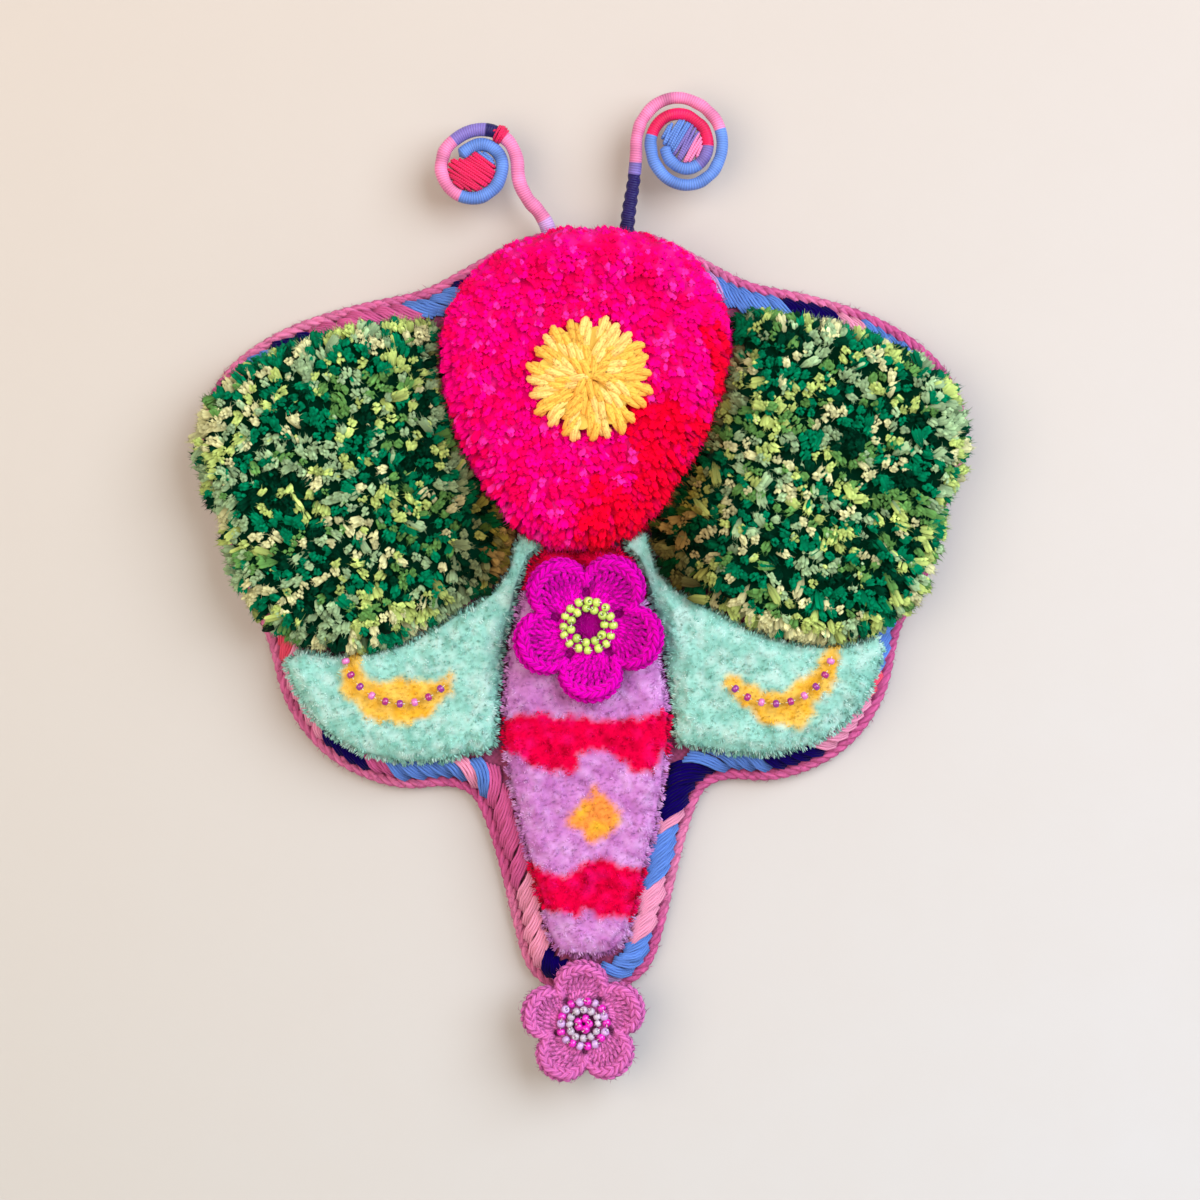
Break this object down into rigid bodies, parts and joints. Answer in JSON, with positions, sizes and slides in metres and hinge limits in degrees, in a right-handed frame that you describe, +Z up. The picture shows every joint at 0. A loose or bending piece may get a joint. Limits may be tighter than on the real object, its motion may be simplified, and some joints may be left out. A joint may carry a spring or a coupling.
{
  "type": "tufted moth wall hanging",
  "caption": "Stuffed moth shape with cut-pile wings, head and abdomen, rope edging, curled thread-wrapped feelers and crocheted flowers.",
  "frame": {"origin": "middle of the base's top edge, on the wall plane", "axes": "+X to the viewer's right, +Y into the wall, +Z up; the hanging faces -Y"},
  "size_m": [0.259, 0.0341, 0.3309],
  "materials": {
    "base_cloth": "plain woven backing cloth over wadding, matt",
    "rose_rope": "dusty pink plied cotton rope, matt",
    "edging_yarn": "variegated yarn in light blue, navy, crimson, pink and lilac, oversewn",
    "pink_pile": "cut yarn pile running from hot pink to red",
    "lavender_pile": "fine short cut pile in lavender with red and orange areas",
    "green_pile": "long cut pile in mixed dark green, lime and sage yarn",
    "mint_pile": "fine short cut pile in mint with yellow areas and small glass beads",
    "yellow_loops": "thick uncut yellow yarn loops",
    "magenta_crochet": "magenta crocheted cotton with lime glass beads",
    "rose_crochet": "dusty pink crocheted cotton with magenta and clear glass beads",
    "wrapping_thread": "stranded thread wound close over wire, slight sheen",
    "eye_thread": "laid stranded threads, slight sheen"
  },
  "bodies": {
    "root": {"base_panel": "base_cloth", "edge_rope": "rose_rope", "edge_yarn": "edging_yarn", "pile_head": "pink_pile", "pile_abdomen": "lavender_pile", "pile_forewing_left": "green_pile", "pile_forewing_right": "green_pile", "pile_hindwing_left": "mint_pile", "pile_hindwing_right": "mint_pile", "loop_rosette": "yellow_loops", "crochet_flower_waist": "magenta_crochet", "crochet_flower_tail": "rose_crochet", "feeler_left": "wrapping_thread", "feeler_right": "wrapping_thread", "curl_eye_left": "eye_thread", "curl_eye_right": "eye_thread"}
  },
  "joints": []
}
